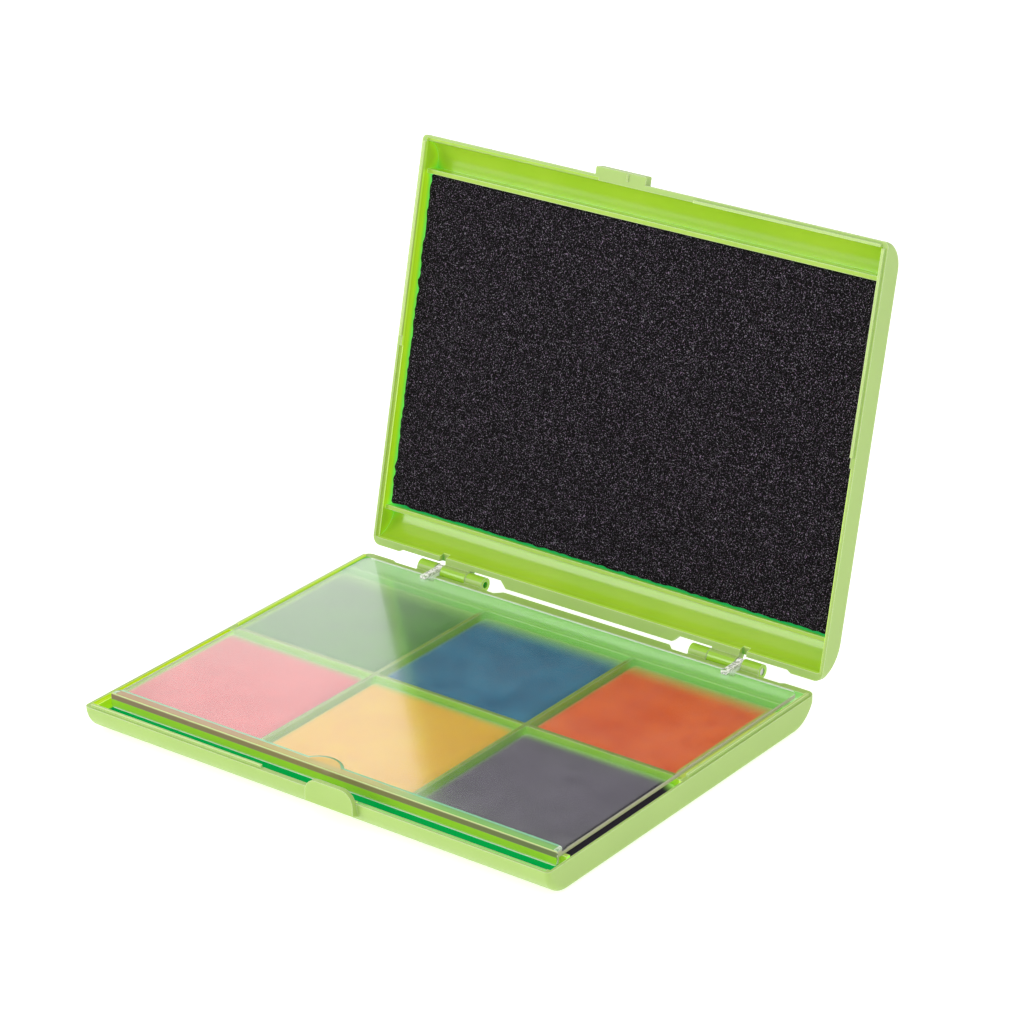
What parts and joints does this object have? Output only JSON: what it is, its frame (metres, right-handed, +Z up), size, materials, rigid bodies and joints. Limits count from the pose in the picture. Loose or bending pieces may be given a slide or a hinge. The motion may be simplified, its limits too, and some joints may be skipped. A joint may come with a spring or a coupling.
{
  "type": "ink pad",
  "caption": "Multicolour stamp ink pad: flat hinged plastic case with cloth-faced pads in cells, a clear inner cover on the same hinge, and a foam-lined lid",
  "frame": {"origin": "middle of the base's flat underside, where it rests on a table", "axes": "+Z up out of the table, +Y from the latch edge to the hinge, +X to the right as seen from the latch edge"},
  "size_m": [0.15, 0.1538, 0.1255],
  "materials": {
    "green_plastic": "glossy, slightly translucent",
    "clear_plastic": "clear polystyrene, glossy",
    "steel": "drawn wire",
    "black_foam": "fine-cell foam, matte",
    "felt": "wool felt",
    "tape": "double-sided tape",
    "inked_cloth_green": "fine weave, wet with ink",
    "inked_cloth_blue": "fine weave, wet with ink",
    "inked_cloth_orange": "fine weave, wet with ink",
    "inked_cloth_pink": "fine weave, wet with ink",
    "inked_cloth_yellow": "fine weave, wet with ink",
    "inked_cloth_violet": "fine weave, wet with ink"
  },
  "bodies": {
    "base": {"base_shell": "green_plastic", "hinge_pin_right": "steel", "hinge_pin_left": "steel", "pad_cloth_green": "inked_cloth_green", "pad_cloth_blue": "inked_cloth_blue", "pad_cloth_orange": "inked_cloth_orange", "pad_cloth_pink": "inked_cloth_pink", "pad_cloth_yellow": "inked_cloth_yellow", "pad_cloth_violet": "inked_cloth_violet", "pad_core_green": "felt", "pad_core_blue": "felt", "pad_core_orange": "felt", "pad_core_pink": "felt", "pad_core_yellow": "felt", "pad_core_violet": "felt", "pad_adhesive": "tape"},
    "inner_cover": {"inner_cover": "clear_plastic"},
    "lid": {"lid_shell": "green_plastic", "lid_foam": "black_foam", "lid_foam_adhesive": "tape"}
  },
  "joints": [
    {"name": "cover_hinge", "type": "hinge", "parent": "base", "child": "inner_cover", "pos_m": [0, 0.0606, 0.008], "axis": [-1, 0, 0], "range_deg": [0, 75]},
    {"name": "lid_hinge", "type": "hinge", "parent": "inner_cover", "child": "lid", "pos_m": [0, 0.0606, 0.008], "axis": [-1, 0, 0], "range_deg": [-103.4, 0]}
  ]
}
